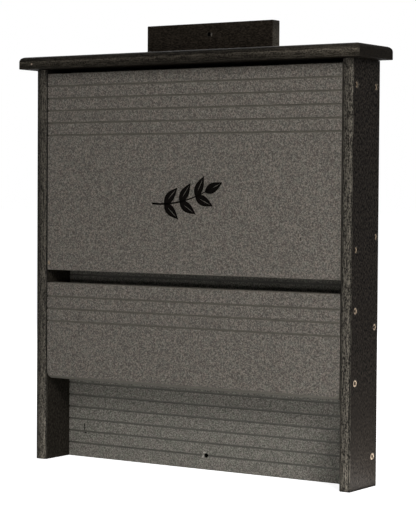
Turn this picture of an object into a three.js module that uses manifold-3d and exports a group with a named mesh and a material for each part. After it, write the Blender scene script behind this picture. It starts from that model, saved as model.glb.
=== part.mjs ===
// A single-chamber bat box screwed together from recycled plastic boards.
// Units are millimetres and +Z is up. The front faces -Y, and the box stands on Z = 0
// with the middle of its overall width and depth at X = 0, Y = 0.

import * as THREE from "three";
import { mergeVertices } from "three/addons/utils/BufferGeometryUtils.js";
import Module from "manifold-3d";

const wasm = await Module();
wasm.setup();

// Box
const boxWidth = 564.5;
const sideHeight = 609.6;
const sideDepth = 78;
const sideThickness = 19.05;
const sideInnerRoundover = 5.5;
const sideEasing = 1.6;

// Front panels, from the roof down
const panelThickness = 19.05;
const panelRecess = 2.5;
const panelEasing = 1;
const topGap = 6.3;
const upperPanelHeight = 305.3;
const ventSlot = 19.5;
const lowerPanelHeight = 150.4;
const lowerPanelRoundover = 6.35;
const lowerPanelCornerRadius = 6;

// Back board
const backThickness = 19.05;
const backEasing = 1;
const backHoleDiameter = 6.35;

// Saw-cut grooves that the bats hold on to
const groovePitch = 19.05;
const grooveWidth = 3.2;
const grooveDepth = 1.5;
const upperGrooveSetback = 19.5;
const upperGrooveCount = 5;
const lowerGrooveSetback = 21.7;
const lowerGrooveCount = 3;
const backGrooveSetback = 21.8;

// Roof
const roofThickness = 19.05;
const roofFrontOverhang = 20.3;
const roofSideOverhang = 20.3;
const roofRoundover = 7.9;
const roofEasing = 1.2;

// Hanging cleat on the roof
const cleatWidth = 227;
const cleatHeight = 45.5;
const cleatThickness = 19.05;
const cleatEasing = 1.2;
const cleatHoleHeight = 28.5;
const cleatHoleDiameter = 6.35;
const cleatScrewSetback = 40;

// Countersunk screws
const screwHeadDiameter = 9.6;
const screwShankDiameter = 4.8;
const screwHeadRim = 0.6;
const screwHeadHeight = 3.4;
const screwLength = 41;
const screwPointLength = 5;
const screwRecessDiameter = 4.4;
const screwRecessDepth = 2.4;
const screwSeatDepth = 0.3;

// Where the screws go in, as hand-placed shares of the board that they hold
const upperScrewHeightShares = [0.899, 0.14];
const upperScrewDepthShares = [0.474, 0.584];
const lowerScrewHeightShares = [0.843, 0.165];
const lowerScrewDepthShares = [0.552, 0.568];
const backScrewHeightShares = [0.938, 0.588, 0.376, 0.072];
const backScrewDepthShares = [0.469, 0.637, 0.552, 0.379];
const roofScrewDepthShares = [0.24, 0.76];

// Leaf sprig on the upper panel
const motifThickness = 0.5;
const motifDrop = 187;
const motifShift = -6.5;
const stemLength = 112;
const stemRise = 26;
const stemBow = 9;
const stemWidth = 3;
const stemTipShare = 0.5;
const leafLength = 34;
const leafWidth = 15;
const leafTipPower = 0.75;
const leafSpreadDegrees = 44;
const leafPairs = 3;
const firstLeafShare = 0.2;
const lastLeafShare = 0.7;
const endLeafShare = 0.85;

// Fits
const jointGap = 0.3;
const screwGap = 0.3;
const cutOverrun = 2;

// Facets
const roundFacet = 1.9;
const screwSides = 12;
const holeSides = 24;
const leafSteps = 5;
const stemSteps = 8;
const leastRoundSteps = 2;

// Places that follow from the sizes above
const innerWidth = boxWidth - 2 * sideThickness;
const boardLength = innerWidth - 2 * jointGap;
const overallDepth = sideDepth + roofFrontOverhang;
const frontEdge = roofFrontOverhang - overallDepth / 2;
const backEdge = frontEdge + sideDepth;
const panelFront = frontEdge + panelRecess;
const backFront = backEdge - backThickness;
const upperTop = sideHeight - topGap;
const upperBottom = upperTop - upperPanelHeight;
const lowerTop = upperBottom - ventSlot;
const lowerBottom = lowerTop - lowerPanelHeight;
const roofBottom = sideHeight + jointGap;
const cleatBottom = roofBottom + roofThickness + jointGap;

// Materials
const blackLumber = new THREE.MeshStandardMaterial({ color: 0x23211e, roughness: 0.55, metalness: 0 });
const graySheet = new THREE.MeshStandardMaterial({ color: 0x67635c, roughness: 0.6, metalness: 0 });
const screwSteel = new THREE.MeshStandardMaterial({ color: 0xb9ab92, roughness: 0.35, metalness: 1 });
const blackPaint = new THREE.MeshStandardMaterial({ color: 0x0b0b0b, roughness: 0.7, metalness: 0 });

// A closed three.js geometry as a solid that can be joined and cut.
function solidOf(geometry) {
  const bare = geometry.clone();
  bare.deleteAttribute("normal");
  bare.deleteAttribute("uv");
  const merged = mergeVertices(bare);
  return new wasm.Manifold(
    new wasm.Mesh({
      numProp: 3,
      vertProperties: merged.getAttribute("position").array,
      triVerts: new Uint32Array(merged.index.array),
    }),
  );
}

// The solid's faces as a flat-shaded three.js geometry.
function geometryOf(solid) {
  const mesh = solid.getMesh();
  const indexed = new THREE.BufferGeometry();
  indexed.setAttribute("position", new THREE.BufferAttribute(new Float32Array(mesh.vertProperties), 3));
  indexed.setIndex(new THREE.BufferAttribute(new Uint32Array(mesh.triVerts), 1));
  const flat = indexed.toNonIndexed();
  flat.computeVertexNormals();
  return flat;
}

function point(x, y) {
  return new THREE.Vector2(x, y);
}

// Points of a quarter arc about (x, y) that starts after a number of quarter turns.
function quarterArc(x, y, radius, firstQuarter) {
  const length = (radius * Math.PI) / 2;
  const steps = Math.max(leastRoundSteps, Math.round(length / roundFacet));
  const points = [];
  for (let i = 0; i <= steps; i++) {
    const angle = ((firstQuarter + i / steps) * Math.PI) / 2;
    points.push(point(x + radius * Math.cos(angle), y + radius * Math.sin(angle)));
  }
  return points;
}

// A rectangle's outline with its four corners rounded, anticlockwise from the lower left.
function roundedRectangle(low, high, radii) {
  const [lowerLeft, lowerRight, upperRight, upperLeft] = radii;
  return [
    ...quarterArc(low.x + lowerLeft, low.y + lowerLeft, lowerLeft, 2),
    ...quarterArc(high.x - lowerRight, low.y + lowerRight, lowerRight, 3),
    ...quarterArc(high.x - upperRight, high.y - upperRight, upperRight, 0),
    ...quarterArc(low.x + upperLeft, high.y - upperLeft, upperLeft, 1),
  ];
}

// An outline in plan pushed up from height z.
function pushedUp(outline, z, height) {
  const geometry = new THREE.ExtrudeGeometry(new THREE.Shape(outline), {
    depth: height,
    steps: 1,
    bevelEnabled: false,
  });
  return geometry.translate(0, 0, z);
}

// An end section, drawn as (y, z), pushed along +X from x.
function pushedAcross(section, x, length) {
  const turn = new THREE.Matrix4().makeBasis(
    new THREE.Vector3(0, 1, 0),
    new THREE.Vector3(0, 0, 1),
    new THREE.Vector3(1, 0, 0),
  );
  return pushedUp(section, x, length).applyMatrix4(turn);
}

// A front outline, drawn as (x, z), pushed towards the back from y.
function pushedBack(outline, y, depth) {
  const turn = new THREE.Matrix4().makeBasis(
    new THREE.Vector3(1, 0, 0),
    new THREE.Vector3(0, 0, 1),
    new THREE.Vector3(0, -1, 0),
  );
  return pushedUp(outline, -y - depth, depth).applyMatrix4(turn);
}

// The (y, z) section of a board with saw cuts in its front face at the given heights.
function groovedSection(low, high, radii, grooveHeights) {
  const outline = roundedRectangle(low, high, radii);
  const cuts = [...grooveHeights].sort((a, b) => b - a);
  for (const height of cuts) {
    outline.push(
      point(low.x, height + grooveWidth / 2),
      point(low.x + grooveDepth, height + grooveWidth / 2),
      point(low.x + grooveDepth, height - grooveWidth / 2),
      point(low.x, height - grooveWidth / 2),
    );
  }
  return outline;
}

// The screw's side profile grown by a clearance, from its head down the axis.
function screwProfile(grow, recess, headReach) {
  const head = screwHeadDiameter / 2 + grow;
  const shank = screwShankDiameter / 2 + grow;
  const socket = screwRecessDiameter / 2;
  const top = recess
    ? [point(0, -screwRecessDepth), point(socket, -screwRecessDepth), point(socket, 0), point(head, 0)]
    : [point(0, headReach), point(head, headReach)];
  return [
    ...top,
    point(head, -screwHeadRim),
    point(shank, -screwHeadHeight),
    point(shank, screwPointLength - screwLength),
    point(0, -screwLength - grow),
  ];
}

// Turns a profile about +Z. Its points run from the head end down, so the faces point out.
function turned(profile) {
  return new THREE.LatheGeometry([...profile].reverse(), screwSides).rotateX(Math.PI / 2);
}

const screwShape = turned(screwProfile(0, true, 0));
const screwHole = turned(screwProfile(screwGap, false, screwSeatDepth + cutOverrun));

// Where a screw sits and which way its head faces, as a matrix.
function screwPlace(x, y, z, headDirection) {
  const turn = new THREE.Quaternion().setFromUnitVectors(new THREE.Vector3(0, 0, 1), headDirection);
  const seat = new THREE.Vector3(x, y, z).addScaledVector(headDirection, -screwSeatDepth);
  return new THREE.Matrix4().compose(seat, turn, new THREE.Vector3(1, 1, 1));
}

// The boards that hang between the side boards, with the screws that hold each of their ends.
const hungBoards = [
  {
    name: "upper_panel",
    bottom: upperBottom,
    height: upperPanelHeight,
    front: panelFront,
    thickness: panelThickness,
    heightShares: upperScrewHeightShares,
    depthShares: upperScrewDepthShares,
  },
  {
    name: "lower_panel",
    bottom: lowerBottom,
    height: lowerPanelHeight,
    front: panelFront,
    thickness: panelThickness,
    heightShares: lowerScrewHeightShares,
    depthShares: lowerScrewDepthShares,
  },
  {
    name: "back_board",
    bottom: 0,
    height: sideHeight,
    front: backFront,
    thickness: backThickness,
    heightShares: backScrewHeightShares,
    depthShares: backScrewDepthShares,
  },
];

// The screws that go through a side board into the ends of the boards between.
function sideScrews(side, direction) {
  const head = new THREE.Vector3(direction, 0, 0);
  const x = (direction * boxWidth) / 2;
  return hungBoards.flatMap((board) =>
    board.heightShares.map((share, i) => {
      const y = board.front + board.depthShares[i] * board.thickness;
      const z = board.bottom + share * board.height;
      return { name: `screw_${board.name}_${side}_${i + 1}`, place: screwPlace(x, y, z, head) };
    }),
  );
}

// The screws that go down through one half of the roof into a side board and the back board.
function roofScrews(side, direction) {
  const up = new THREE.Vector3(0, 0, 1);
  const top = roofBottom + roofThickness;
  const overSide = (direction * (boxWidth - sideThickness)) / 2;
  const overBack = (direction * (cleatWidth + innerWidth)) / 4;
  const intoSide = roofScrewDepthShares.map((share, i) => ({
    name: `screw_roof_${side}_${i + 1}`,
    place: screwPlace(overSide, frontEdge + share * sideDepth, top, up),
  }));
  const backMiddle = backEdge - backThickness / 2;
  return [...intoSide, { name: `screw_roof_back_${side}`, place: screwPlace(overBack, backMiddle, top, up) }];
}

// The screw that goes up through the roof into one half of the cleat.
function cleatScrew(side, direction) {
  const down = new THREE.Vector3(0, 0, -1);
  const x = direction * (cleatWidth / 2 - cleatScrewSetback);
  const y = backEdge - cleatThickness / 2;
  return { name: `screw_cleat_${side}`, place: screwPlace(x, y, roofBottom, down) };
}

const screws = [["left", -1], ["right", 1]].flatMap(([side, direction]) => [
  ...sideScrews(side, direction),
  ...roofScrews(side, direction),
  cleatScrew(side, direction),
]);

// A board's solid with a hole for each screw whose name starts with one of those given.
function drilled(geometry, ...starts) {
  const holes = screws.filter(({ name }) => starts.some((start) => name.startsWith(start)));
  return holes.reduce(
    (board, { place }) => board.subtract(solidOf(screwHole.clone().applyMatrix4(place))),
    solidOf(geometry),
  );
}

// A round hole from front to back at (x, z), through a board that lies between two depths.
function hangingHole(x, z, diameter, front, back) {
  const radius = diameter / 2;
  const hole = new THREE.CylinderGeometry(radius, radius, back - front + 2 * cutOverrun, holeSides);
  return solidOf(hole.translate(x, (front + back) / 2, z));
}

// A side board, whose inner front edge is rounded over.
function sideBoard(direction) {
  const inner = direction * (boxWidth / 2 - sideThickness);
  const outer = (direction * boxWidth) / 2;
  const low = point(Math.min(inner, outer), frontEdge);
  const high = point(Math.max(inner, outer), backEdge);
  const radii = direction > 0
    ? [sideInnerRoundover, sideEasing, sideEasing, sideEasing]
    : [sideEasing, sideInnerRoundover, sideEasing, sideEasing];
  const side = direction > 0 ? "right" : "left";
  return drilled(
    pushedUp(roundedRectangle(low, high, radii), 0, sideHeight),
    `screw_upper_panel_${side}`,
    `screw_lower_panel_${side}`,
    `screw_back_board_${side}`,
    `screw_roof_${side}`,
  );
}

// The back board, grooved from bottom to top, with a mounting hole on its lowest groove.
function backBoard() {
  const heights = [];
  for (let z = backGrooveSetback; z < sideHeight - grooveWidth; z += groovePitch) heights.push(z);
  const radii = [backEasing, backEasing, backEasing, backEasing];
  const section = groovedSection(point(backFront, 0), point(backEdge, sideHeight), radii, heights);
  return drilled(pushedAcross(section, -boardLength / 2, boardLength), "screw_back_board", "screw_roof_back")
    .subtract(hangingHole(0, backGrooveSetback, backHoleDiameter, backFront, backEdge));
}

// Heights of a front panel's grooves, which start below its top.
function grooveHeights(top, setback, count) {
  return Array.from({ length: count }, (_, i) => top - setback - i * groovePitch);
}

// The upper panel, which covers the roost.
function upperFrontPanel() {
  const low = point(panelFront, upperBottom);
  const high = point(panelFront + panelThickness, upperTop);
  const radii = [panelEasing, panelEasing, panelEasing, panelEasing];
  const heights = grooveHeights(upperTop, upperGrooveSetback, upperGrooveCount);
  const section = groovedSection(low, high, radii, heights);
  return drilled(pushedAcross(section, -boardLength / 2, boardLength), "screw_upper_panel");
}

// The lower panel is rounded over along its front's bottom edge, and at its two bottom corners.
function lowerFrontPanel() {
  const low = point(panelFront, lowerBottom);
  const high = point(panelFront + panelThickness, lowerTop);
  const radii = [lowerPanelRoundover, panelEasing, panelEasing, panelEasing];
  const heights = grooveHeights(lowerTop, lowerGrooveSetback, lowerGrooveCount);
  const section = groovedSection(low, high, radii, heights);
  const end = boardLength / 2;
  const corners = [lowerPanelCornerRadius, lowerPanelCornerRadius, panelEasing, panelEasing];
  const face = roundedRectangle(point(-end, lowerBottom), point(end, lowerTop), corners);
  return drilled(pushedAcross(section, -end, boardLength), "screw_lower_panel")
    .intersect(solidOf(pushedBack(face, panelFront - cutOverrun, panelThickness + 2 * cutOverrun)));
}

// The roof's four top edges are rounded over: it is what two rounded sections have in common.
function roofBoard() {
  const halfWidth = boxWidth / 2 + roofSideOverhang;
  const roofTop = roofBottom + roofThickness;
  const radii = [roofEasing, roofEasing, roofRoundover, roofRoundover];
  const front = frontEdge - roofFrontOverhang;
  const acrossSection = roundedRectangle(point(front, roofBottom), point(backEdge, roofTop), radii);
  const backSection = roundedRectangle(point(-halfWidth, roofBottom), point(halfWidth, roofTop), radii);
  return drilled(pushedAcross(acrossSection, -halfWidth, 2 * halfWidth), "screw_roof", "screw_cleat")
    .intersect(solidOf(pushedBack(backSection, front - cutOverrun, overallDepth + 2 * cutOverrun)));
}

// The block that stands on the roof and takes the upper mounting screw.
function hangingCleat() {
  const front = backEdge - cleatThickness;
  const radii = [cleatEasing, cleatEasing, cleatEasing, cleatEasing];
  const top = cleatBottom + cleatHeight;
  const section = roundedRectangle(point(front, cleatBottom), point(backEdge, top), radii);
  return drilled(pushedAcross(section, -cleatWidth / 2, cleatWidth), "screw_cleat")
    .subtract(hangingHole(0, cleatBottom + cleatHoleHeight, cleatHoleDiameter, front, backEdge));
}

// The stem's middle line, a shallow bow that climbs to the right, at a share of its length.
function stemPoint(share) {
  const bow = 4 * stemBow * share * (1 - share);
  return point((share - 1 / 2) * stemLength, (share - 1 / 2) * stemRise - bow);
}

function stemAngle(share) {
  const slope = (stemRise - 4 * stemBow * (1 - 2 * share)) / stemLength;
  return Math.atan(slope);
}

// Half the width of a leaf at a share of its length: pointed at both ends, widest below its middle.
function leafHalfWidth(share) {
  return (leafWidth / 2) * Math.sin(Math.PI * share ** leafTipPower);
}

// A leaf that starts on the stem at a share of its length and leans off it by an angle.
function leafOutline(share, lean) {
  const steps = Array.from({ length: leafSteps + 1 }, (_, i) => i / leafSteps);
  const right = steps.map((step) => point(step * leafLength, -leafHalfWidth(step)));
  const left = steps.slice(1, -1).map((step) => point(step * leafLength, leafHalfWidth(step)));
  const turn = stemAngle(share) + lean;
  const base = stemPoint(share);
  return [...right, ...left.reverse()].map((p) => p.rotateAround(point(0, 0), turn).add(base));
}

// The stem itself, which tapers to a share of its width at the tip.
function stemOutline() {
  const below = [];
  const above = [];
  for (let i = 0; i <= stemSteps; i++) {
    const share = i / stemSteps;
    const middle = stemPoint(share);
    const half = (stemWidth / 2) * THREE.MathUtils.lerp(1, stemTipShare, share);
    below.push(point(middle.x, middle.y - half));
    above.unshift(point(middle.x, middle.y + half));
  }
  return [...below, ...above];
}

// A plain leafy twig, cut from thin black sheet and lying on the upper panel.
function frontMotif() {
  const spread = THREE.MathUtils.degToRad(leafSpreadDegrees);
  const outlines = [stemOutline(), leafOutline(endLeafShare, 0)];
  for (let i = 0; i < leafPairs; i++) {
    const share = THREE.MathUtils.lerp(firstLeafShare, lastLeafShare, i / (leafPairs - 1));
    outlines.push(leafOutline(share, spread), leafOutline(share, -spread));
  }
  const front = panelFront - jointGap - motifThickness;
  const middle = new THREE.Vector3(motifShift, 0, upperTop - motifDrop);
  return outlines
    .map((outline) => solidOf(pushedBack(outline, front, motifThickness).translate(...middle)))
    .reduce((whole, piece) => whole.add(piece));
}

const group = new THREE.Group();

function addPiece(name, geometry, material) {
  const mesh = new THREE.Mesh(geometry, material);
  mesh.name = name;
  group.add(mesh);
  return mesh;
}

addPiece("side_board_left", geometryOf(sideBoard(-1)), blackLumber);
addPiece("side_board_right", geometryOf(sideBoard(1)), blackLumber);
addPiece("back_board", geometryOf(backBoard()), graySheet);
addPiece("upper_front_panel", geometryOf(upperFrontPanel()), graySheet);
addPiece("lower_front_panel", geometryOf(lowerFrontPanel()), graySheet);
addPiece("roof_board", geometryOf(roofBoard()), blackLumber);
addPiece("hanging_cleat", geometryOf(hangingCleat()), blackLumber);
addPiece("front_motif", geometryOf(frontMotif()), blackPaint);
for (const screw of screws) {
  addPiece(screw.name, screwShape, screwSteel).applyMatrix4(screw.place);
}

export default group;
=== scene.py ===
import math

import bmesh
import bpy
from mathutils import Matrix, Vector


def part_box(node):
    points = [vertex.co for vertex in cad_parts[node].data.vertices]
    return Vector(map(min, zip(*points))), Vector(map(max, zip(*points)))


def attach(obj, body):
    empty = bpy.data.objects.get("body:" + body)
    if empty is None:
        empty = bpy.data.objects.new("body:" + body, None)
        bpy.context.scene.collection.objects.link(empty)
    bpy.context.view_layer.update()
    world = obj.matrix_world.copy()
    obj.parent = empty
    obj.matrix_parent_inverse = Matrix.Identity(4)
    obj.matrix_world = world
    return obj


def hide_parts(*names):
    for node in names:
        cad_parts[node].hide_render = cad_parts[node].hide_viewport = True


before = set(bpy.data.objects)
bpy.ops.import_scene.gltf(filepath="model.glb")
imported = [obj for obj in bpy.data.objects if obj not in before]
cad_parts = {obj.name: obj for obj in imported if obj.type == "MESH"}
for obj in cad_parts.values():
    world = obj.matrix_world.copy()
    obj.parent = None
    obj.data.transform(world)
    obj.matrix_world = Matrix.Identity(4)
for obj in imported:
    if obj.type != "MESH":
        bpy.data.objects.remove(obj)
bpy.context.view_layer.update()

# A bat box of recycled plastic boards. Its boards, screws and leaf sprig are drawn again, finer than in the
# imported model, and get their materials, a pale floor, soft light and the photograph's camera.
# Lengths are in metres, +Z is up, and the front faces -Y.

mm = 0.001
up = Vector((0, 0, 1))
frontwards = Vector((0, -1, 0))

# Camera, with its lens and sensor in millimetres as Blender takes them
camera_place = Vector((1.5318, -2.26325, 0.4203))
camera_yaw = math.radians(33.717)
camera_pitch = math.radians(-2.164)
camera_roll = math.radians(0.374)
camera_lens = 125.78
camera_sensor = 36

# Lamps, in metres and watts. The side card lies on the floor beside the right side board.
softbox_place = Vector((1.9, -1.25, 1.35))
softbox_aim = Vector((0, 0, 0.33))
softbox_size = 0.9
softbox_power = 38.5
strip_place = Vector((0.1, -0.52, 0.035))
strip_aim = Vector((0, 0, 0.05))
strip_length = 1
strip_height = 0.08
strip_power = 0.7
far_strip_place = Vector((1.2, -2.4, 0.12))
far_strip_aim = Vector((0, 0, 0.3))
far_strip_length = 2
far_strip_height = 0.2
far_strip_power = 6.5
side_card_gap = 4 * mm
side_card_width = 0.2
side_card_depth = 0.13
side_card_height = 1 * mm
side_card_power = 0.85
rear_fill_place = Vector((-1.4, 1.9, 1.5))
rear_fill_aim = Vector((0, 0, 0.3))
rear_fill_size = 1.4
rear_fill_power = 32

# Surroundings. The floor's own light grows from the near distance to the far one.
ambient_strength = 0.03
background_strength = 1
floor_size = 60
floor_albedo = 0.8
floor_glow_near = 0.9
floor_glow_far = 1
floor_near = 0.6
floor_far = 2.6

# Edges of the boards
side_inner_roundover = 5.5 * mm
side_easing = 1.6 * mm
side_end_easing = 0.8 * mm
panel_easing = 1 * mm
panel_end_easing = 0.3 * mm
lower_panel_roundover = 6.35 * mm
lower_panel_corner_radius = 6 * mm
roof_roundover = 7.9 * mm
roof_easing = 1.2 * mm
roof_corner_radius = 0.8 * mm
cleat_easing = 1.2 * mm
least_radius = 0.05 * mm

# Grooves. A setback is from the board's end to the middle of the nearest groove.
groove_pitch = 19.05 * mm
groove_width = 2.4 * mm
groove_depth = 1.5 * mm
groove_lip_radius = 0.25 * mm
upper_groove_setback = 19.5 * mm
upper_groove_count = 5
lower_groove_setback = 21.7 * mm
lower_groove_count = 3
back_groove_setback = 21.8 * mm

# Mounting holes
hole_diameter = 6.35 * mm
hole_rim_flare = 0.5 * mm
cleat_hole_height = 28.5 * mm

# Screws
screw_head_diameter = 9.6 * mm
screw_head_rim = 0.6 * mm
screw_head_edge = 0.25 * mm
screw_head_height = 3.4 * mm
screw_length = 41 * mm
screw_point_length = 5 * mm
screw_root_diameter = 3.3 * mm
screw_crest_diameter = 4.8 * mm
thread_pitch = 2.5 * mm
thread_flank_slope = 2.5
thread_crest_share = 0.5
recess_depth = 2.2 * mm
recess_mean_radius = 2.6 * mm
recess_lobe_depth = 0.35 * mm
recess_floor_share = 0.8
recess_point_share = 0.1
recess_point_depth = 0.5 * mm
recess_lobes = 6
screw_seat_depth = 0.3 * mm
countersink_clearance = 0.2 * mm
countersink_flare = 0.45 * mm
cut_overrun = 2 * mm

# Each screw is turned by this angle from the last one, so that no two stars stand alike
golden_angle = math.radians(137.5)

# How much deeper than their CAD seats the side screws were driven above each height. The lowest ones
# sit in their seats, nearly level with the face.
deep_drives = [(290 * mm, 2 * mm), (190 * mm, 0.8 * mm)]

# Leaf sprig on the upper panel
film_thickness = 0.3 * mm
film_bedding = 0.05 * mm
sprig_drop = 187 * mm
sprig_shift = -6.5 * mm
stem_length = 112 * mm
stem_rise = 26 * mm
stem_bow = 9 * mm
stem_width = 3 * mm
stem_middle_share = 0.5
stem_tip_share = 0.5
leaf_length = 34 * mm
leaf_width = 15 * mm
leaf_tip_power = 0.75
leaf_spread = math.radians(44)
leaf_pairs = 3
first_leaf_share = 0.2
last_leaf_share = 0.7
end_leaf_share = 0.85
midrib_width = 0.9 * mm
midrib_start_share = 0.22
midrib_end_share = 0.9

# Facets
arc_steps = 6
lip_steps = 3
hole_sides = 48
screw_sides = 36
thread_steps = 5
leaf_steps = 24
stem_steps = 24
smooth_angle = math.radians(38)

# A board's broad faces are those this square to it and this close to its box, and a bore's walls those that
# face the front by less than the wall share
flat_share = 0.99
flat_reach = 0.2 * mm
wall_share = 0.5

# Tone of the cut edges in bands: from, to, tone at the start and tone at the end. A side board's are
# measured at its foot, inwards from its outer face, and the roof's and the cleat's upwards from their
# undersides.
right_edge_skin_and_shade_bands = [
    # Painted shade over the rounding of the inner corner, which turns away from the light
    (12.7 * mm, 16.7 * mm, 1, 0.68),
    (6.5 * mm, 9.5 * mm, 1.4, 1),
    # The dark embossed skin round the outer corner
    (2.3 * mm, 4.5 * mm, 0.3, 1),
]
left_edge_shade_and_line_bands = [
    # A thin darker line along the inner corner, next to the panels
    (16.5 * mm, 18 * mm, 1, 0.2),
    # Painted shade, darker towards the outer corner
    (0.5 * mm, 12 * mm, 0.3, 1.03),
]
roof_edge_light_and_shade_bands = [
    # Darker towards the underside
    (2 * mm, 8 * mm, 0.75, 1.3),
    # A painted highlight along the small step that the router left where the rounding starts
    (8.5 * mm, 9.5 * mm, 1, 1.55),
    # Painted shade over the upward rounding
    (11 * mm, 12.5 * mm, 1, 0.36),
]
cleat_edge_bands = [
    (22 * mm, 42 * mm, 2.4, 1),
]

# How far the right board's bands lean outwards over its height
right_edge_lean = 3 * mm

# Painted sheen: the left board's edge is lighter towards its foot, from the ground upwards
left_foot_sheen_bands = [
    (0, 260 * mm, 1.8, 1),
]

# The roof's edge is lighter towards its ends, from the middle of the box outwards
roof_length_bands = [
    (-20 * mm, -120 * mm, 1, 1.35),
    (90 * mm, 270 * mm, 1, 2.3),
]

# Colours, as sRGB hex
panel_gray_warm = "6E6760"
panel_gray_cool = "6A6760"
# Painted light: the back board is the panels' gray sheet, painted lighter for the light on its recessed foot
lit_back_gray_warm = "7E7972"
lit_back_gray_cool = "79786F"
panel_sawn_gray = "5E5A51"
back_sawn_gray = "5F5D56"
lumber_black = "1A1714"
# Painted light: the side boards' inner faces are the same black as the outer ones, painted lighter
lit_inner_black = "282520"
# Painted shade on the walls of the mounting holes
bore_shade_black = "0D0B09"
roof_black = "14110D"
cleat_black = "2A251F"
lumber_sawn_black = "4D4942"
lumber_routed_black = "26231E"
film_black = "070504"
screw_tan = "9A8976"
# Painted shade in the screws' star recesses
recess_shade_black = "080605"

# Finishes, as inputs of the Principled shader. The gloss of the black ones is held low, because the white
# surroundings would veil them.
polyethylene_ior = 1.51
embossed_gray_finish = {"Roughness": 0.6, "Specular IOR Level": 0.1, "IOR": polyethylene_ior}
sawn_gray_finish = {"Roughness": 0.5, "Specular IOR Level": 0.25, "IOR": polyethylene_ior}
embossed_black_finish = {"Roughness": 0.6, "Specular IOR Level": 0.015, "IOR": polyethylene_ior}
sawn_black_finish = {"Roughness": 0.45, "Specular IOR Level": 0.04, "IOR": polyethylene_ior}
routed_black_finish = {"Roughness": 0.5, "Specular IOR Level": 0.025, "IOR": polyethylene_ior}
bore_finish = {"Roughness": 0.8, "Specular IOR Level": 0.02}
recess_finish = {"Roughness": 0.8, "Specular IOR Level": 0.01}
film_finish = {"Roughness": 0.7, "Specular IOR Level": 0.03}
coated_steel_finish = {"Metallic": 1}
coated_steel_roughness = (0.3, 0.5)

# The sRGB curve: a straight foot, and a power above it
srgb_foot = 0.04045
srgb_foot_slope = 12.92
srgb_offset = 0.055
srgb_power = 2.4


def linear(hex_colour):
    """An sRGB hex colour as linear RGB with full alpha."""
    shares = [int(hex_colour[i:i + 2], 16) / 255 for i in (0, 2, 4)]
    return [
        s / srgb_foot_slope if s <= srgb_foot else ((s + srgb_offset) / (1 + srgb_offset)) ** srgb_power
        for s in shares
    ] + [1]


def add(tree, kind, inputs=None, **settings):
    """Adds a node with its settings, and gives each input a value or a link."""
    made = tree.nodes.new(kind)
    for name, value in settings.items():
        setattr(made, name, value)
    for socket, value in (inputs or {}).items():
        if isinstance(value, bpy.types.NodeSocket):
            tree.links.new(value, made.inputs[socket])
        else:
            made.inputs[socket].default_value = value
    return made


# The colour sockets of a Mix node
mix_first = 6
mix_second = 7
mix_result = 2


def new_material(name, colour, finish):
    """A material with a Principled shader of one colour and finish."""
    material = bpy.data.materials.new(name)
    material.use_nodes = True
    shader = material.node_tree.nodes["Principled BSDF"]
    shader.inputs["Base Color"].default_value = linear(colour)
    for socket, value in finish.items():
        shader.inputs[socket].default_value = value
    return material, material.node_tree, shader


# Patterns

# A noise texture's middle, and how far from it a pattern reaches its darkest and lightest tones. The
# texture hardly ever leaves the full spread, and often leaves the crisp one.
pattern_middle = 0.5
full_spread = 0.2
even_spread = 0.12
crisp_spread = 0.08

# How strongly a noise texture's finer layers show, and how far it is warped
blotch_roughness = 0.5
blotch_distortion = 0.4

# Above one, the light tones are spread wider than the dark ones, so that both look alike in strength
tone_curve = 1.4


def blotches(tree, width, length, grain_axis="Z", detail=1):
    """Uneven blotches of a real width, and of a real length along one axis."""
    place = add(tree, "ShaderNodeTexCoord").outputs["Object"]
    scale = Vector([1 / length if axis == grain_axis else 1 / width for axis in "XYZ"])
    stretched = add(tree, "ShaderNodeMapping", {"Vector": place, "Scale": scale}).outputs["Vector"]
    return add(tree, "ShaderNodeTexNoise", {
        "Vector": stretched, "Scale": 1, "Detail": detail,
        "Roughness": blotch_roughness, "Distortion": blotch_distortion,
    }).outputs["Fac"]


def share_of_spread(tree, pattern, spread):
    """How far a pattern has come from the low end of a spread to its high end."""
    return add(tree, "ShaderNodeMapRange", {
        "Value": pattern, "From Min": pattern_middle - spread, "From Max": pattern_middle + spread,
    }).outputs["Result"]


def toned(tree, shader, colour, pattern, spread, tones, band_tone=1):
    """Shades a linear colour or a link by a pattern, from a darkest tone in its lows to a lightest in its
    highs, times the band tone, which paints shade, a highlight and a sheen on some cut edges."""
    share = share_of_spread(tree, pattern, spread)
    curved = add(tree, "ShaderNodeMath", {0: share, 1: tone_curve}, operation="POWER").outputs["Value"]
    tone = add(tree, "ShaderNodeMapRange", {
        "Value": curved, "To Min": tones[0], "To Max": tones[1],
    }).outputs["Result"]
    tone_in_bands = add(tree, "ShaderNodeMath", {0: tone, 1: band_tone}, operation="MULTIPLY").outputs["Value"]
    base = colour[:3] if isinstance(colour, list) else colour
    shade = add(tree, "ShaderNodeVectorMath", {0: base, "Scale": tone_in_bands}, operation="SCALE").outputs["Vector"]
    tree.links.new(shade, shader.inputs["Base Color"])


def raised(tree, shader, pattern, depth):
    """Gives a surface relief of a real depth."""
    relief = add(tree, "ShaderNodeBump", {"Height": pattern, "Distance": depth}).outputs["Normal"]
    tree.links.new(relief, shader.inputs["Normal"])


# Marks on the boards

back_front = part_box("back_board")[0].y
panel_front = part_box("upper_front_panel")[0].y
roof_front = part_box("roof_board")[0].y
cleat_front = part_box("hanging_cleat")[0].y
mark_depth = 2 * mm
mark_patch_size = 1.7 * mm

# A mark covers its board fully up to the first of these and ends at the second, as shares of its half size
# with the raggedness, which is about one half, added
mark_full_share = 1.3
mark_end_share = 1.6


def mark(front, x, z, half_width, half_height, colour):
    """A small mark on a board's front: its middle, its half size and its colour."""
    return Vector((x, front, z)), Vector((half_width, mark_depth, half_height)), colour


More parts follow.
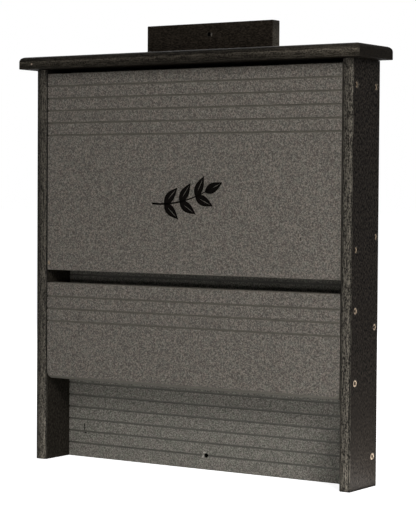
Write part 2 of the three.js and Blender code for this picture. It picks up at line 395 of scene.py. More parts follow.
# The burrs are what the drill left beside the lower mounting hole, and the cleat has one beside the upper
burr_marks = [
    mark(back_front, -5.8 * mm, 20.6 * mm, 1.5 * mm, 3 * mm, "D2CDC4"),
    mark(back_front, -2.6 * mm, 26 * mm, 2.6 * mm, 1.3 * mm, "C4BFB6"),
]
back_marks = [
    *burr_marks,
    mark(back_front, -231.6 * mm, 46.5 * mm, 1.3 * mm, 6.5 * mm, "33332E"),
    mark(back_front, -229.4 * mm, 40 * mm, 2.2 * mm, 2.6 * mm, "1C1C19"),
]
panel_marks = [
    mark(panel_front, 197.3 * mm, 355 * mm, 1.2 * mm, 3.4 * mm, "38342F"),
    mark(panel_front, -259.8 * mm, 309.5 * mm, 2.2 * mm, 3.4 * mm, "A8957F"),
]
roof_marks = [
    mark(roof_front, -277.4 * mm, 617.6 * mm, 1.6 * mm, 1.3 * mm, "75665B"),
]
cleat_marks = [
    mark(cleat_front, 4.8 * mm, 657.6 * mm, 1.5 * mm, 3 * mm, "6A655E"),
]


def marked(tree, colour, marks):
    """Lays small marks over a linear colour or a link, each a ragged spot at its own place."""
    if not marks:
        return colour
    place = add(tree, "ShaderNodeTexCoord").outputs["Object"]
    raggedness = blotches(tree, mark_patch_size, mark_patch_size)
    for middle, half_size, mark_colour in marks:
        shift = add(tree, "ShaderNodeVectorMath", {
            0: place, 1: middle,
        }, operation="SUBTRACT").outputs["Vector"]
        shares = add(tree, "ShaderNodeVectorMath", {
            0: shift, 1: half_size,
        }, operation="DIVIDE").outputs["Vector"]
        reach = add(tree, "ShaderNodeVectorMath", {0: shares}, operation="LENGTH").outputs["Value"]
        uneven = add(tree, "ShaderNodeMath", {0: reach, 1: raggedness}, operation="ADD").outputs["Value"]
        cover = add(tree, "ShaderNodeMapRange", {
            "Value": uneven, "From Min": mark_end_share, "From Max": mark_full_share,
        }).outputs["Result"]
        colour = add(tree, "ShaderNodeMix", {
            "Factor": cover, mix_first: colour, mix_second: linear(mark_colour),
        }, data_type="RGBA").outputs[mix_result]
    return colour


# Materials

# The pebbles are as coarse as they need to be to show at the photograph's size. Real ones may be finer.
pebble_size = 1.7 * mm
pebble_depth = 1.1 * mm
pebble_tones = (0.52, 1.72)
tint_patch_size = 9 * mm


def embossed_gray_sheet(name, warm, cool, marks):
    """Polyethylene sheet pressed against a pebbled roller: matt, its pits a little darker than its humps,
    with faint warm and cool patches from the mixed recycled plastic."""
    material, tree, shader = new_material(f"embossed_gray_polyethylene_{name}", warm, embossed_gray_finish)
    pebbles = blotches(tree, pebble_size, pebble_size)
    patches = blotches(tree, tint_patch_size, tint_patch_size)
    tint = add(tree, "ShaderNodeMix", {
        "Factor": share_of_spread(tree, patches, full_spread),
        mix_first: linear(cool), mix_second: linear(warm),
    }, data_type="RGBA").outputs[mix_result]
    toned(tree, shader, marked(tree, tint, marks), pebbles, full_spread, pebble_tones)
    raised(tree, shader, pebbles, pebble_depth)
    return material


saw_mark_width = 1.8 * mm
saw_mark_length = 15 * mm
saw_mark_depth = 0.05 * mm
saw_mark_tones = (0.85, 1.15)


def sawn_gray_edge(name, colour, marks=()):
    """The same sheet where a saw or router cut it: smoother, without the pebble, with faint cutter marks."""
    material, tree, shader = new_material(f"sawn_gray_polyethylene_{name}", colour, sawn_gray_finish)
    strokes = blotches(tree, saw_mark_width, saw_mark_length, "X", detail=2)
    toned(tree, shader, marked(tree, linear(colour), marks), strokes, full_spread, saw_mark_tones)
    raised(tree, shader, strokes, saw_mark_depth)
    return material


# The knops are as coarse as they need to be to show at the photograph's size. Real ones may be finer.
knop_width = 1.7 * mm
knop_length = 4 * mm
knop_depth = 0.6 * mm
knop_tones = (0.4, 1.75)
side_knop_tones = (0.1, 2.5)

# The sides' grain is rubbed flat towards the foot: its strength at two heights
worn_heights = (100 * mm, 560 * mm)
worn_shares = (0.42, 2.6)


def stronger_upwards(tree, pattern):
    """A pattern that is faint at the sides' foot and grows stronger with the height."""
    place = add(tree, "ShaderNodeTexCoord").outputs["Object"]
    height = add(tree, "ShaderNodeSeparateXYZ", {0: place}).outputs["Z"]
    strength = add(tree, "ShaderNodeMapRange", {
        "Value": height, "From Min": worn_heights[0], "From Max": worn_heights[1],
        "To Min": worn_shares[0], "To Max": worn_shares[1],
    }).outputs["Result"]
    strayed = add(tree, "ShaderNodeMath", {
        0: pattern, 1: pattern_middle,
    }, operation="SUBTRACT").outputs["Value"]
    return add(tree, "ShaderNodeMath", {
        0: strayed, 1: strength, 2: pattern_middle,
    }, operation="MULTIPLY_ADD").outputs["Value"]


def embossed_black_lumber(name, colour, grain_axis, spread, tones=knop_tones, marks=(), worn_foot=False):
    """Recycled polyethylene lumber rolled with a fine knopped grain: nearly black, its ridges a shade
    lighter. With a worn foot, the grain is faint low down."""
    material, tree, shader = new_material(f"embossed_black_lumber_{name}", colour, embossed_black_finish)
    knops = blotches(tree, knop_width, knop_length, grain_axis, detail=2)
    if worn_foot:
        knops = stronger_upwards(tree, knops)
    toned(tree, shader, marked(tree, linear(colour), marks), knops, spread, tones)
    raised(tree, shader, knops, knop_depth)
    return material


streak_width = 1.2 * mm
streak_length = 22 * mm
streak_share = 0.5
scuff_width = 1.4 * mm
scuff_length = 2.8 * mm
sawn_depth = 0.5 * mm
sawn_tones = (0.2, 1.9)
routed_tones = (0.4, 1.8)

# How unevenly the bands of a cut edge end
ragged_width = 2.2 * mm
ragged_patch_width = 1.4 * mm
ragged_patch_length = 5.6 * mm


def sawn_surface(tree, grain_axis):
    """What the blade or the cutter leaves: long streaks along the board with short scuffs over them."""
    streaks = blotches(tree, streak_width, streak_length, grain_axis)
    scuffs = blotches(tree, scuff_width, scuff_length, grain_axis)
    return add(tree, "ShaderNodeMix", {
        "Factor": streak_share, "A": scuffs, "B": streaks,
    }).outputs["Result"]


def banded(tree, axis, side, bands, product=1, lean=0):
    """A tone times bands along an axis. Each goes smoothly from one place and tone to another, and a
    little unevenly, as a cut edge does. The bands lean outwards with the height."""
    if not bands:
        return product
    place = add(tree, "ShaderNodeTexCoord").outputs["Object"]
    places = add(tree, "ShaderNodeSeparateXYZ", {0: place}).outputs
    across = places[axis]
    if lean:
        across = add(tree, "ShaderNodeMath", {
            0: places["Z"], 1: -side * lean, 2: across,
        }, operation="MULTIPLY_ADD").outputs["Value"]
    raggedness = blotches(tree, ragged_patch_width, ragged_patch_length)
    offset = add(tree, "ShaderNodeMath", {
        0: raggedness, 1: ragged_width, 2: -ragged_width / 2,
    }, operation="MULTIPLY_ADD").outputs["Value"]
    uneven = add(tree, "ShaderNodeMath", {
        0: across, 1: side, 2: offset,
    }, operation="MULTIPLY_ADD").outputs["Value"]
    for start, end, first_tone, last_tone in bands:
        band = add(tree, "ShaderNodeMapRange", {
            "Value": uneven, "From Min": start, "From Max": end, "To Min": first_tone, "To Max": last_tone,
        }, interpolation_type="SMOOTHSTEP").outputs["Result"]
        product = add(tree, "ShaderNodeMath", {0: product, 1: band}, operation="MULTIPLY").outputs["Value"]
    return product


def sawn_black_lumber(side_name, side, bands, spread, lean=0, foot_sheen_bands=()):
    """A side board's sawn edge: the blade scuffs the black plastic to a lighter, streaky charcoal, and the
    dark embossed skin wraps raggedly round the right board's outer corner. Its bands also paint shade over
    the right board's inner rounding and towards the left board's outer corner, and a thin darker line along
    the left board's inner corner; its foot bands paint a sheen towards the left board's foot."""
    material, tree, shader = new_material(
        f"sawn_black_lumber_{side_name}", lumber_sawn_black, sawn_black_finish
    )
    surface = sawn_surface(tree, "Z")
    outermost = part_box("side_board_right")[1]
    placed = [(outermost.x - start, outermost.x - end, *tones) for start, end, *tones in bands]
    band_tone = banded(tree, "X", side, placed, banded(tree, "Z", 1, foot_sheen_bands), lean / outermost.z)
    toned(tree, shader, linear(lumber_sawn_black), surface, spread, sawn_tones, band_tone)
    raised(tree, shader, surface, sawn_depth)
    return material


def routed_black_lumber(name, node, height_bands, length_bands=(), marks=()):
    """The roof's and the cleat's edges, planed and rounded with a router: darker than the sawn ones."""
    material, tree, shader = new_material(
        f"routed_black_lumber_{name}", lumber_routed_black, routed_black_finish
    )
    surface = sawn_surface(tree, "X")
    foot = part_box(node)[0].z
    risen = [(foot + start, foot + end, *tones) for start, end, *tones in height_bands]
    band_tone = banded(tree, "X", 1, length_bands, banded(tree, "Z", 1, risen))
    colour = marked(tree, linear(lumber_routed_black), marks)
    toned(tree, shader, colour, surface, crisp_spread, routed_tones, band_tone)
    raised(tree, shader, surface, sawn_depth)
    return material


# The coating's scuffs are too fine to show in the photograph, and only soften its gloss seen close up
coating_scuff_size = 0.25 * mm
coating_scuff_depth = 0.01 * mm


def tan_screw_steel():
    """Stainless steel with a tan dry-film coating: a metal's gloss, softened and slightly golden."""
    material, tree, shader = new_material("tan_coated_stainless_steel", screw_tan, coated_steel_finish)
    scuffs = blotches(tree, coating_scuff_size, coating_scuff_size, detail=2)
    least_rough, most_rough = coated_steel_roughness
    rough = add(tree, "ShaderNodeMapRange", {
        "Value": scuffs, "To Min": least_rough, "To Max": most_rough,
    }).outputs["Result"]
    tree.links.new(rough, shader.inputs["Roughness"])
    raised(tree, shader, scuffs, coating_scuff_depth)
    return material


recess_mottle_size = 0.6 * mm
bore_mottle_size = 1.2 * mm
mottle_tones = (0.6, 1.4)


def shaded_recess_steel():
    """The screw's star recess: painted shade, dull and nearly black, with a faint mottle."""
    material, tree, shader = new_material("shaded_recess_steel", recess_shade_black, recess_finish)
    recess_mottle = blotches(tree, recess_mottle_size, recess_mottle_size)
    toned(tree, shader, linear(recess_shade_black), recess_mottle, full_spread, mottle_tones)
    return material


def shaded_bore():
    """The drilled walls of the mounting holes: painted shade, dull and black, with a faint mottle."""
    material, tree, shader = new_material("shaded_drilled_polyethylene", bore_shade_black, bore_finish)
    bore_mottle = blotches(tree, bore_mottle_size, bore_mottle_size)
    toned(tree, shader, linear(bore_shade_black), bore_mottle, full_spread, mottle_tones)
    return material


film_ripple_size = 5 * mm
film_ripple_depth = 0.12 * mm


def matt_black_film():
    """Cut vinyl film pressed onto the pebbled sheet: flat black, with the pebbles showing through faintly."""
    material, tree, shader = new_material("matt_black_vinyl_film", film_black, film_finish)
    ripple = blotches(tree, film_ripple_size, film_ripple_size)
    raised(tree, shader, ripple, film_ripple_depth)
    return material


# Shapes

def plan(x, y):
    """A point of a flat outline."""
    return Vector((x, y))


def quarter_arc(x, y, radius, first_quarter, steps=arc_steps):
    """Points of a quarter arc about (x, y) that starts after a number of quarter turns."""
    radius = max(radius, least_radius)
    angles = [(first_quarter + i / steps) * math.pi / 2 for i in range(steps + 1)]
    return [plan(x + radius * math.cos(a), y + radius * math.sin(a)) for a in angles]


def rounded_outline(low, high, radii, inset=0):
    """A rectangle's outline with rounded corners, anticlockwise from the lower left, drawn in by an
    inset."""
    low = low + plan(inset, inset)
    high = high - plan(inset, inset)
    lower_left, lower_right, upper_right, upper_left = [max(r - inset, least_radius) for r in radii]
    return [
        *quarter_arc(low.x + lower_left, low.y + lower_left, lower_left, 2),
        *quarter_arc(high.x - lower_right, low.y + lower_right, lower_right, 3),
        *quarter_arc(high.x - upper_right, high.y - upper_right, upper_right, 0),
        *quarter_arc(low.x + upper_left, high.y - upper_left, upper_left, 1),
    ]


def groove_outline(front, height, inset):
    """One saw cut in a board's front, from its upper lip down to its lower one."""
    half = groove_width / 2 + inset
    lip = max(groove_lip_radius - inset, least_radius)
    upper_lip = quarter_arc(front + lip, height + half + lip, lip, 2, lip_steps)
    lower_lip = quarter_arc(front + lip, height - half - lip, lip, 1, lip_steps)
    floor_y = front + groove_depth
    return [*upper_lip, plan(floor_y, height + half), plan(floor_y, height - half), *lower_lip]


def grooved_outline(low, high, radii, heights, inset=0):
    """A board's (y, z) section with its saw cuts."""
    outline = rounded_outline(low, high, radii, inset)
    for height in sorted(heights, reverse=True):
        outline += groove_outline(low.x + inset, height, inset)
    return outline


def eased_stations(start, end, start_ease, end_ease):
    """Positions along a board with the inset at each, so that both ends are rounded."""
    angles = [i / arc_steps * math.pi / 2 for i in range(arc_steps + 1)]
    first = [(start + start_ease * (1 - math.cos(a)), start_ease * (1 - math.sin(a))) for a in angles]
    last = [(end - end_ease * (1 - math.cos(a)), end_ease * (1 - math.sin(a))) for a in angles]
    return first + last[::-1]


def along_x(point, position):
    """A point of an outline in (y, z), placed along X."""
    return Vector((position, point.x, point.y))


def along_z(point, position):
    """A point of an outline in (x, y), placed along Z."""
    return Vector((point.x, point.y, position))


def link(name, data):
    """A new object in the scene, from a mesh, a lamp or a camera."""
    piece = bpy.data.objects.new(name, data)
    bpy.context.scene.collection.objects.link(piece)
    return piece


def from_bmesh(name, shape):
    """A mesh with its faces outwards, from a shape that it uses up."""
    bmesh.ops.recalc_face_normals(shape, faces=shape.faces)
    mesh = bpy.data.meshes.new(name)
    shape.to_mesh(mesh)
    shape.free()
    return mesh


def skinned(name, rings):
    """Skins closed rings of points, each with the same count, and caps both ends."""
    shape = bmesh.new()
    loops = [[shape.verts.new(point) for point in ring] for ring in rings]
    for lower, upper in zip(loops, loops[1:]):
        for i in range(len(lower)):
            j = (i + 1) % len(lower)
            shape.faces.new((lower[i], lower[j], upper[j], upper[i]))
    shape.faces.new(loops[0][::-1])
    shape.faces.new(loops[-1])
    return from_bmesh(name, shape)


def lofted(name, outline_at, place, stations):
    """A board: its outline, which depends on the inset, placed at each station along it."""
    return link(name, skinned(name, [[place(p, at) for p in outline_at(inset)] for at, inset in stations]))


def turned(name, profile, matrices):
    """A profile of (radius, height) points turned about +Z, from top to foot, once for each matrix."""
    shape = bmesh.new()
    angles = [2 * math.pi * i / hole_sides for i in range(hole_sides)]
    for matrix in matrices:
        loops = []
        for radius, height in profile:
            ring = [Vector((radius * math.cos(a), radius * math.sin(a), height)) for a in angles]
            loops.append([shape.verts.new(matrix @ p) for p in ring])
        for upper, lower in zip(loops, loops[1:]):
            for i in range(hole_sides):
                j = (i + 1) % hole_sides
                shape.faces.new((upper[j], upper[i], lower[i], lower[j]))
        shape.faces.new(loops[0])
        shape.faces.new(loops[-1][::-1])
    return link(name, from_bmesh(name, shape))


def turn_to(direction):
    """The turn that points +Z in a direction."""
    return up.rotation_difference(direction).to_matrix().to_4x4()


def cut(board, cutter):
    """Cuts one object out of another, and removes the cutter."""
    modifier = board.modifiers.new("cut", "BOOLEAN")
    modifier.operation = "DIFFERENCE"
    modifier.solver = "EXACT"
    modifier.object = cutter
    depsgraph = bpy.context.evaluated_depsgraph_get()
    board.data = bpy.data.meshes.new_from_object(board.evaluated_get(depsgraph))
    board.modifiers.clear()
    bpy.data.objects.remove(cutter)


def smoothed(piece):
    """Smooth rounded edges beside flat faces that stay flat."""
    piece.data.shade_smooth()
    piece.data.set_sharp_from_angle(angle=smooth_angle)
    weighted = piece.modifiers.new("flat_faces", "WEIGHTED_NORMAL")
    weighted.keep_sharp = True


def dressed(piece, node, slot, edge, *faces):
    """Gives a board its finishes, and lets it stand for its CAD node. Each of the faces comes as a material
    and a test, and what no test takes is an edge."""
    piece.data.materials.clear()
    for material in (edge, *[material for material, _ in faces]):
        piece.data.materials.append(material)
    for polygon in piece.data.polygons:
        taken = [i for i, (_, is_face) in enumerate(faces, 1) if is_face(polygon)]
        polygon.material_index = taken[0] if taken else 0
    smoothed(piece)
    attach(piece, "root")
    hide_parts(node)


def facing(axis, low, high, ways=(-1, 1)):
    """A test for the faces that lie on a board's broad sides, across an axis and facing one of the ways."""

    def is_face(polygon):
        flat = any(polygon.normal[axis] * way > flat_share for way in ways)
        place = polygon.center[axis]
        return flat and min(abs(place - low[axis]), abs(place - high[axis])) < flat_reach

    return is_face


def in_mounting_hole(height):
    """A test for the walls of the mounting hole at a height, in the middle of the box."""
    reach = hole_diameter / 2 + hole_rim_flare

    def is_wall(polygon):
        place = polygon.center
        return abs(polygon.normal.y) < wall_share and math.hypot(place.x, place.z - height) < reach

    return is_wall


def at_ends(polygon):
    """A test for the faces at a board's left and right ends, the rounding over them included."""
    return abs(polygon.normal.x) > abs(polygon.normal.y)


# Screws

def screw_nodes(*starts):
    """The CAD's nodes whose names start in one of these ways."""
    return [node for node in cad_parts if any(node.startswith(start) for start in starts)]


def head_direction(node):
    """The way that a screw's head faces."""
    if node.startswith("screw_cleat"):
        return -up
    if node.startswith("screw_roof"):
        return up
    return Vector((-1 if "_left" in node else 1, 0, 0))


def head_place(node):
    """The matrix that puts a screw drawn head up at the origin where its CAD node is."""
    low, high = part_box(node)
    direction = head_direction(node)
    reach = abs((high - low).dot(direction)) / 2
    seat = (low + high) / 2 + direction * reach
    return Matrix.Translation(seat) @ turn_to(direction)


def deeper_drive(node):
    """How far below its CAD seat a head sits."""
    if node.startswith(("screw_roof", "screw_cleat")):
        return 0
    low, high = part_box(node)
    height = (low.z + high.z) / 2
    return next((depth for least, depth in deep_drives if height > least), 0)


def countersinks(nodes, deeper):
    """The pits that the heads sit in, with a rim that the cutter left slightly flared."""
    head = screw_head_diameter / 2 + countersink_clearance
    shank = screw_crest_diameter / 2
    flared = head + countersink_flare
    profile = [
        (flared, screw_seat_depth + cut_overrun),
        (flared, screw_seat_depth),
        (head, screw_seat_depth - countersink_flare),
        (head, -screw_head_rim - deeper),
        (shank, -screw_head_height - countersink_clearance - deeper),
    ]
    return turned("countersinks", profile, [head_place(node) for node in nodes])


def countersunk(board, nodes):
    """Cuts a board's pits, those of the deep screws and those of the others."""
    for deeper in sorted({deeper_drive(node) for node in nodes}):
        cut(board, countersinks([node for node in nodes if deeper_drive(node) == deeper], deeper))


def star_ring(radius, lobe, height):
    """A ring with the recess's lobes, or a plain one where they have no depth."""
    angles = [2 * math.pi * i / screw_sides for i in range(screw_sides)]
    reaches = [radius + lobe * math.cos(recess_lobes * a) for a in angles]
    return [Vector((r * math.cos(a), r * math.sin(a), height)) for r, a in zip(reaches, angles)]


def thread_ring(height, length):
    """A ring across the threaded shank, further out where the thread's crest passes."""
    root = screw_root_diameter / 2
    crest = screw_crest_diameter / 2
    taper = min(1, (height + length) / screw_point_length)
    ring = []
    for i in range(screw_sides):
        turn = i / screw_sides
        phase = (height / thread_pitch - turn) % 1
        rise = max(0, 1 - thread_flank_slope * abs(phase - thread_crest_share))
        radius = (root + (crest - root) * rise) * taper
        angle = 2 * math.pi * turn
        ring.append(Vector((radius * math.cos(angle), radius * math.sin(angle), height)))
    return ring


def deck_screw_mesh(length, steel, recess):
    """A countersunk deck screw, head up at the origin: star recess, flat head, cone and thread."""
    head = screw_head_diameter / 2
    thread_start = -screw_head_height
    steps = round((length + thread_start) / thread_pitch * thread_steps)
    heights = [thread_start - (length + thread_start) * i / steps for i in range(1, steps)]
    floor_radius = recess_mean_radius * recess_floor_share
    floor_lobe = recess_lobe_depth * recess_floor_share
    rings = [
        star_ring(recess_mean_radius * recess_point_share, 0, -recess_depth - recess_point_depth),
        star_ring(floor_radius, floor_lobe, -recess_depth),
        star_ring(recess_mean_radius, recess_lobe_depth, -screw_head_edge),
        star_ring(recess_mean_radius + screw_head_edge, recess_lobe_depth, 0),
        star_ring(head - screw_head_edge, 0, 0),
        star_ring(head, 0, -screw_head_edge),
        star_ring(head, 0, -screw_head_rim),
        star_ring(screw_root_diameter / 2, 0, thread_start),
        *[thread_ring(height, length) for height in heights],
        star_ring(least_radius, 0, -length),
    ]
    mesh = skinned("deck_screw", rings)
    mesh.shade_smooth()
    mesh.set_sharp_from_angle(angle=smooth_angle)
    mesh.materials.append(steel)
    mesh.materials.append(recess)
    for polygon in mesh.polygons:
        inner = polygon.center.xy.length < recess_mean_radius + recess_lobe_depth
        polygon.material_index = 1 if inner and thread_start < polygon.center.z < -screw_head_edge else 0
    return mesh


def deck_screws(steel, recess):
    """The screws. One driven deep is drawn shorter, so that its point stays where the CAD's is."""
    nodes = sorted(screw_nodes("screw_"))
    depths = sorted({deeper_drive(node) for node in nodes})
    meshes = {deeper: deck_screw_mesh(screw_length - deeper, steel, recess) for deeper in depths}
    for i, node in enumerate(nodes):
        deeper = deeper_drive(node)
        piece = link(f"deck_{node}", meshes[deeper])
        sunk = Matrix.Translation((0, 0, -deeper))
        piece.matrix_world = head_place(node) @ sunk @ Matrix.Rotation(i * golden_angle, 4, "Z")
        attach(piece, "root")
        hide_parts(node)


# Boards

def side_board(side, outer, inner, edge):
    """A side board, whose inner front edge is rounded over, with its countersinks."""
    node = f"side_board_{side}"
    low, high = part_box(node)
    radii = [side_easing] * 4
    radii[0 if side == "right" else 1] = side_inner_roundover
    board = lofted(
        f"side_lumber_{side}",
        lambda inset: rounded_outline(low.xy, high.xy, radii, inset),
        along_z,
        eased_stations(low.z, high.z, side_end_easing, side_end_easing),
    )
    held = ("upper_panel", "lower_panel", "back_board")
    countersunk(board, screw_nodes(*[f"screw_{other}_{side}" for other in held]))
    outward = 1 if side == "right" else -1
    outer_side = facing(0, low, high, [outward])
    inner_side = facing(0, low, high, [-outward])
    dressed(board, node, "black_poly_lumber", edge, (outer, outer_side), (inner, inner_side))


def mounting_hole(height, low, high):
    """A hole through a board from front to back, slightly flared where the drill went in."""
    radius = hole_diameter / 2
    profile = [
        (radius + hole_rim_flare, cut_overrun),
        (radius + hole_rim_flare, 0),
        (radius, -hole_rim_flare),
        (radius, low.y - high.y - cut_overrun),
    ]
    place = Matrix.Translation((0, low.y, height))
    return turned("mounting_hole", profile, [place @ turn_to(frontwards)])


def groove_heights(first, way, count):
    """The heights of saw cuts, one pitch apart, from the first one up or down."""
    return [first + way * i * groove_pitch for i in range(count)]


def grooved_board(name, node, radii, heights, corner_radius=0):
    """A gray board with saw cuts across its front. A corner radius rounds its two bottom corners."""
    low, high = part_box(node)
    section_low = plan(low.y, low.z)
    section_high = plan(high.y, high.z)

    def outline_at(inset):
        if corner_radius:
            return grooved_outline(section_low + plan(0, inset), section_high, radii, heights)
        return grooved_outline(section_low, section_high, radii, heights, inset)

    ease = corner_radius or panel_end_easing
    board = lofted(name, outline_at, along_x, eased_stations(low.x, high.x, ease, ease))
    return board, facing(1, low, high)


def back_board(face, edge, bore):
    """The back board, grooved all the way up, with its mounting hole in the lowest groove."""
    node = "back_board"
    low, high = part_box(node)
    hole_height = low.z + back_groove_setback
    count = int((high.z - low.z - back_groove_setback - groove_width) / groove_pitch) + 1
    heights = groove_heights(hole_height, 1, count)
    board, is_face = grooved_board("grooved_back", node, [panel_easing] * 4, heights)
    cut(board, mounting_hole(hole_height, low, high))
    dressed(board, node, "gray_poly_sheet", edge, (bore, in_mounting_hole(hole_height)), (face, is_face))


def upper_front_panel(face, edge):
    """The upper panel, grooved below its top edge."""
    node = "upper_front_panel"
    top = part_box(node)[1].z
    heights = groove_heights(top - upper_groove_setback, -1, upper_groove_count)
    board, is_face = grooved_board("upper_front", node, [panel_easing] * 4, heights)
    dressed(board, node, "gray_poly_sheet", edge, (face, is_face))


def lower_front_panel(face, edge):
    """The lower panel, grooved below its top edge and rounded over along its foot."""
    node = "lower_front_panel"
    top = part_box(node)[1].z
    heights = groove_heights(top - lower_groove_setback, -1, lower_groove_count)
    radii = [lower_panel_roundover, *[panel_easing] * 3]
    board, is_face = grooved_board("lower_front", node, radii, heights, lower_panel_corner_radius)
    dressed(board, node, "gray_poly_sheet", edge, (face, is_face))


def roof_board(face, edge):
    """The roof, its four top edges rounded over and meeting in mitres at the corners."""
    low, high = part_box("roof_board")
    radii = [roof_corner_radius] * 4
    board = lofted(
        "roof_lumber",
        lambda inset: rounded_outline(low.xy, high.xy, radii, inset),
        along_z,
        eased_stations(low.z, high.z, roof_easing, roof_roundover),
    )
    countersunk(board, screw_nodes("screw_roof", "screw_cleat"))
    dressed(board, "roof_board", "black_poly_lumber", edge, (face, facing(2, low, high)), (face, at_ends))


def hanging_cleat(face, edge, bore):
    """The cleat on the roof that the box hangs by, with its mounting hole."""
    low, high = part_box("hanging_cleat")
    radii = [cleat_easing] * 4
    board = lofted(
        "cleat_lumber",
        lambda inset: rounded_outline(plan(low.y, low.z), plan(high.y, high.z), radii, inset),
        along_x,
        eased_stations(low.x, high.x, cleat_easing, cleat_easing),
    )
    hole_height = low.z + cleat_hole_height
    cut(board, mounting_hole(hole_height, low, high))
    walls = (bore, in_mounting_hole(hole_height))
    dressed(board, "hanging_cleat", "black_poly_lumber", edge, walls, (face, facing(1, low, high)))


# Leaf sprig

def stem_point(share):
    """The stem's middle line, which climbs to the right and hangs below the straight line by a parabola."""
    bow = 4 * stem_bow * share * (1 - share)
    along = share - stem_middle_share
    return plan(along * stem_length, along * stem_rise - bow)


def stem_angle(share):
    """The stem's slope at a share of its length, as an angle."""
    return math.atan((stem_rise - 4 * stem_bow * (1 - 2 * share)) / stem_length)


def stem_outline():
    """The stem, which tapers towards its tip."""
    shares = [i / stem_steps for i in range(stem_steps + 1)]
    halves = [stem_width / 2 * (1 + (stem_tip_share - 1) * share) for share in shares]
    below = [stem_point(share) - plan(0, half) for share, half in zip(shares, halves)]
    above = [stem_point(share) + plan(0, half) for share, half in zip(shares, halves)]
    return below + above[::-1]


def half_leaf_outline(share, lean, side):
    """Half a leaf on one side of its midrib, which shows as a fine gap that closes towards the tip."""
    steps = [i / leaf_steps for i in range(leaf_steps + 1)]
    halves = [leaf_width / 2 * math.sin(math.pi * s ** leaf_tip_power) for s in steps]
    rim = [plan(s * leaf_length, side * half) for s, half in zip(steps, halves)]
    gap_shares = [(s - midrib_start_share) / (midrib_end_share - midrib_start_share) for s in steps]
    gaps = [midrib_width / 2 * math.sin(math.pi * min(max(g, 0), 1)) for g in gap_shares]
    rib = [plan(s * leaf_length, side * min(gap, abs(p.y))) for s, gap, p in zip(steps, gaps, rim)]
    turn = Matrix.Rotation(stem_angle(share) + lean, 2)
    base = stem_point(share)
    outline = [turn @ p + base for p in rim + rib[-2:0:-1]]
    return outline if side < 0 else outline[::-1]


def leaf_sprig(material):
    """A plain leafy twig of thin film, which lies on the upper panel."""
    low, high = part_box("upper_front_panel")
    middle = plan(sprig_shift, high.z - sprig_drop)
    outlines = [stem_outline()]
    leaves = [(end_leaf_share, 0)]
    for i in range(leaf_pairs):
        share = first_leaf_share + (last_leaf_share - first_leaf_share) * i / (leaf_pairs - 1)
        leaves += [(share, leaf_spread), (share, -leaf_spread)]
    for share, lean in leaves:
        outlines += [half_leaf_outline(share, lean, side) for side in (-1, 1)]
    shape = bmesh.new()
    for outline in outlines:
        places = [(p.x + middle.x, p.y + middle.y) for p in outline]
        front = [shape.verts.new((x, low.y - film_thickness, z)) for x, z in places]
        back = [shape.verts.new((x, low.y + film_bedding, z)) for x, z in places]
        shape.faces.new(front)
        shape.faces.new(back[::-1])
        for i in range(len(front)):
            j = (i + 1) % len(front)
            shape.faces.new((front[j], front[i], back[i], back[j]))
    piece = link("leaf_sprig_film", from_bmesh("leaf_sprig_film", shape))
    piece.data.materials.append(material)
    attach(piece, "root")
    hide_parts("front_motif")


# Stage

def seen_directly(tree):
    """One for camera, glossy and transmission rays, which see the white surroundings, and nought for
    others."""
    path = add(tree, "ShaderNodeLightPath").outputs
    seen = add(tree, "ShaderNodeMath", {
        0: path["Is Camera Ray"], 1: path["Is Glossy Ray"],
    }, operation="MAXIMUM").outputs["Value"]
    return add(tree, "ShaderNodeMath", {
        0: seen, 1: path["Is Transmission Ray"],
    }, operation="MAXIMUM").outputs["Value"]


def white_world():
    """White surroundings, which add only a little light of their own."""
    world = bpy.data.worlds.new("white_surroundings")
    world.use_nodes = True
    tree = world.node_tree
    strength = add(tree, "ShaderNodeMapRange", {
        "Value": seen_directly(tree), "To Min": ambient_strength, "To Max": background_strength,
    }).outputs["Result"]
    background = tree.nodes["Background"]
    background.inputs["Color"].default_value = (1, 1, 1, 1)
    tree.links.new(strength, background.inputs["Strength"])
    bpy.context.scene.world = world


def pale_floor():
    """A floor that looks white round the object and keeps its soft shadow."""
    material = bpy.data.materials.new("matt_white_paper")
    material.use_nodes = True
    tree = material.node_tree
    tree.nodes.clear()
    paper = add(tree, "ShaderNodeBsdfDiffuse", {"Color": [floor_albedo] * 3 + [1]}).outputs["BSDF"]
    place = add(tree, "ShaderNodeTexCoord").outputs["Object"]
    distance = add(tree, "ShaderNodeVectorMath", {0: place}, operation="LENGTH").outputs["Value"]
    glow = add(tree, "ShaderNodeMapRange", {
        "Value": distance, "From Min": floor_near, "From Max": floor_far,
        "To Min": floor_glow_near, "To Max": floor_glow_far,
    }).outputs["Result"]
    strength = add(tree, "ShaderNodeMath", {
        0: seen_directly(tree), 1: glow,
    }, operation="MULTIPLY").outputs["Value"]
    light = add(tree, "ShaderNodeEmission", {"Strength": strength}).outputs["Emission"]
    both = add(tree, "ShaderNodeAddShader", {0: paper, 1: light}).outputs["Shader"]
    add(tree, "ShaderNodeOutputMaterial", {"Surface": both})
    half = floor_size / 2
    corners = [(-half, -half, 0), (half, -half, 0), (half, half, 0), (-half, half, 0)]
    mesh = bpy.data.meshes.new("floor")
    mesh.from_pydata(corners, [], [(0, 1, 2, 3)])
    mesh.materials.append(material)
    link("floor", mesh)


def soft_lamp(name, place, aim, width, height, power):
    """A softbox or a bounce card, which the camera doesn't see."""
    lamp = bpy.data.lights.new(name, "AREA")
    lamp.shape = "RECTANGLE"
    lamp.size = width
    lamp.size_y = height
    lamp.energy = power
    piece = link(name, lamp)
    piece.location = place
    piece.rotation_euler = (aim - place).to_track_quat("-Z", "Y").to_euler()
    piece.visible_camera = False


def side_card():
    """A bounce card on the floor, which throws its light up along the right side board."""
    low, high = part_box("side_board_right")
    place = Vector((
        high.x + side_card_gap + side_card_width / 2,
        (low.y + high.y) / 2,
        side_card_height,
    ))
    soft_lamp("side_card", place, place + up, side_card_width, side_card_depth, side_card_power)


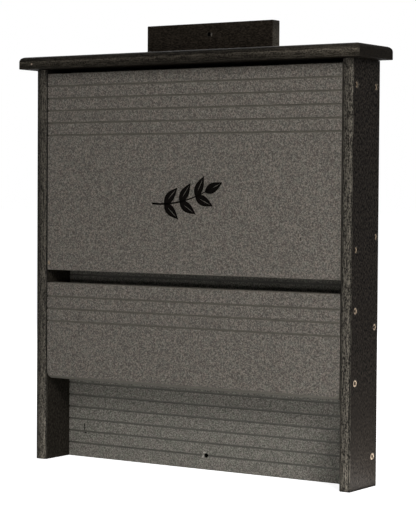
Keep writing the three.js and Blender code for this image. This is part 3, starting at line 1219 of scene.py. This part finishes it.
def photo_camera():
    """The photograph's view: yawed right of the front, tipped slightly down."""
    data = bpy.data.cameras.new("camera")
    data.lens = camera_lens
    data.sensor_width = camera_sensor
    camera = link("camera", data)
    camera.matrix_world = (
        Matrix.Translation(camera_place)
        @ Matrix.Rotation(camera_yaw, 4, "Z")
        @ Matrix.Rotation(math.pi / 2 + camera_pitch, 4, "X")
        @ Matrix.Rotation(camera_roll, 4, "Z")
    )
    bpy.context.scene.camera = camera


panel_face = embossed_gray_sheet("panels", panel_gray_warm, panel_gray_cool, panel_marks)
# Painted light: the back board's sheet is painted lighter than the panels'
lit_back_face = embossed_gray_sheet("back", lit_back_gray_warm, lit_back_gray_cool, back_marks)
panel_edge = sawn_gray_edge("panels", panel_sawn_gray)
back_edge = sawn_gray_edge("back", back_sawn_gray, burr_marks)
bore = shaded_bore()
outer_face = embossed_black_lumber("sides", lumber_black, "Z", even_spread, side_knop_tones, worn_foot=True)
# Painted light: the inner faces get a lighter copy of the sides' black
lit_inner_face = embossed_black_lumber("side_inners_painted_lighter", lit_inner_black, "Z", full_spread)
roof_face = embossed_black_lumber("roof", roof_black, "X", even_spread)
cleat_face = embossed_black_lumber("cleat", cleat_black, "X", full_spread, marks=cleat_marks)
left_edge = sawn_black_lumber("left", -1, left_edge_shade_and_line_bands, even_spread, foot_sheen_bands=left_foot_sheen_bands)
right_edge = sawn_black_lumber("right", 1, right_edge_skin_and_shade_bands, crisp_spread, right_edge_lean)
roof_edge = routed_black_lumber("roof", "roof_board", roof_edge_light_and_shade_bands, roof_length_bands, roof_marks)
cleat_edge = routed_black_lumber("cleat", "hanging_cleat", cleat_edge_bands)

side_board("left", outer_face, lit_inner_face, left_edge)
side_board("right", outer_face, lit_inner_face, right_edge)
back_board(lit_back_face, back_edge, bore)
upper_front_panel(panel_face, panel_edge)
lower_front_panel(panel_face, panel_edge)
roof_board(roof_face, roof_edge)
hanging_cleat(cleat_face, cleat_edge, bore)
deck_screws(tan_screw_steel(), shaded_recess_steel())
leaf_sprig(matt_black_film())

white_world()
pale_floor()
soft_lamp("softbox", softbox_place, softbox_aim, softbox_size, softbox_size, softbox_power)
soft_lamp("low_strip", strip_place, strip_aim, strip_length, strip_height, strip_power)
soft_lamp("far_strip", far_strip_place, far_strip_aim, far_strip_length, far_strip_height, far_strip_power)
side_card()
soft_lamp("rear_fill", rear_fill_place, rear_fill_aim, rear_fill_size, rear_fill_size, rear_fill_power)
photo_camera()
bpy.context.scene.view_settings.view_transform = "Standard"

bpy.context.view_layer.update()
